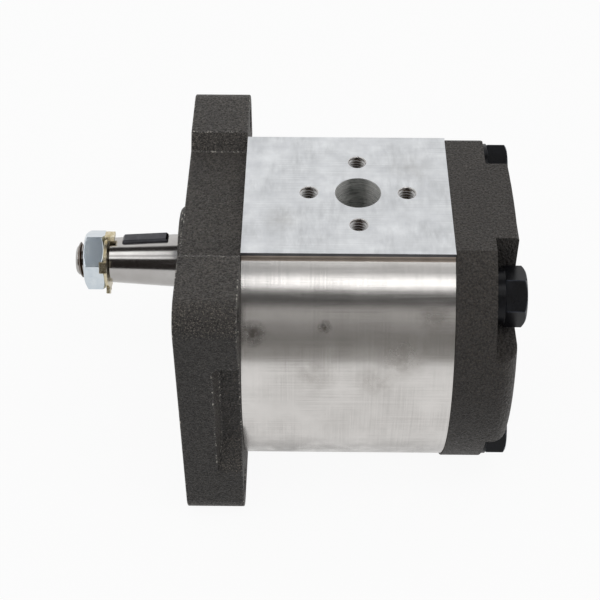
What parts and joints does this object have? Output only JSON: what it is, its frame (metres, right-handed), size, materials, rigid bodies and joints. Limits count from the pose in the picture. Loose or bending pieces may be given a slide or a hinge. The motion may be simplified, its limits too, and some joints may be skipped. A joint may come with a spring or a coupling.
{
  "type": "gear pump",
  "caption": "External gear pump: cast iron flange with pilot, aluminium body with flanged ports, rear cover, meshed gears and a tapered, keyed drive shaft with nut.",
  "frame": {"origin": "on the drive shaft's axis, in the plane of the flange's mounting face", "axes": "+X runs along the shaft to the rear cover, +Z faces out of the pressure port, and the driven gear lies on the -Y side"},
  "size_m": [0.142, 0.1124, 0.0888],
  "materials": {
    "cast_iron": "as-cast with milled faces, dark grey primer",
    "body_aluminium": "satin turned sides, milled port faces",
    "black_steel": "black oxide",
    "ground_steel": "ground and polished",
    "key_steel": "plain dark steel",
    "yellow_zinc": "yellow chromated zinc plate on sheet steel",
    "white_zinc": "bright zinc plate",
    "bearing_alloy": "machined",
    "bush_bronze": "sintered bronze",
    "seal_rubber": "matt",
    "spring_steel": "phosphated",
    "backup_plastic": "plain"
  },
  "bodies": {
    "housing": {"front_flange": "cast_iron", "body": "body_aluminium", "rear_cover": "cast_iron", "cover_bolts": "black_steel", "spring_washers": "black_steel", "front_bearing_block": "bearing_alloy", "rear_bearing_block": "bearing_alloy", "drive_front_bush": "bush_bronze", "drive_rear_bush": "bush_bronze", "driven_front_bush": "bush_bronze", "driven_rear_bush": "bush_bronze", "shaft_seal": "seal_rubber", "seal_retaining_ring": "spring_steel", "front_body_seal": "seal_rubber", "rear_body_seal": "seal_rubber", "front_balance_seal": "seal_rubber", "rear_balance_seal": "seal_rubber", "front_backup_strip": "backup_plastic", "rear_backup_strip": "backup_plastic", "front_dowel_pins": "key_steel", "rear_dowel_pins": "key_steel"},
    "drive_shaft": {"drive_gear_shaft": "ground_steel", "shaft_key": "key_steel", "tab_washer": "yellow_zinc", "shaft_nut": "white_zinc"},
    "driven_shaft": {"driven_gear": "ground_steel"}
  },
  "joints": [
    {"name": "drive_spin", "type": "hinge", "parent": "housing", "child": "drive_shaft", "pos_m": [0, 0, 0], "axis": [1, 0, 0], "continuous": true},
    {"name": "driven_spin", "type": "hinge", "parent": "housing", "child": "driven_shaft", "pos_m": [0, -0.0344, 0], "axis": [1, 0, 0], "continuous": true}
  ],
  "couplings": [
    {"joint": "driven_spin", "follows": "drive_spin", "ratio": -1}
  ]
}
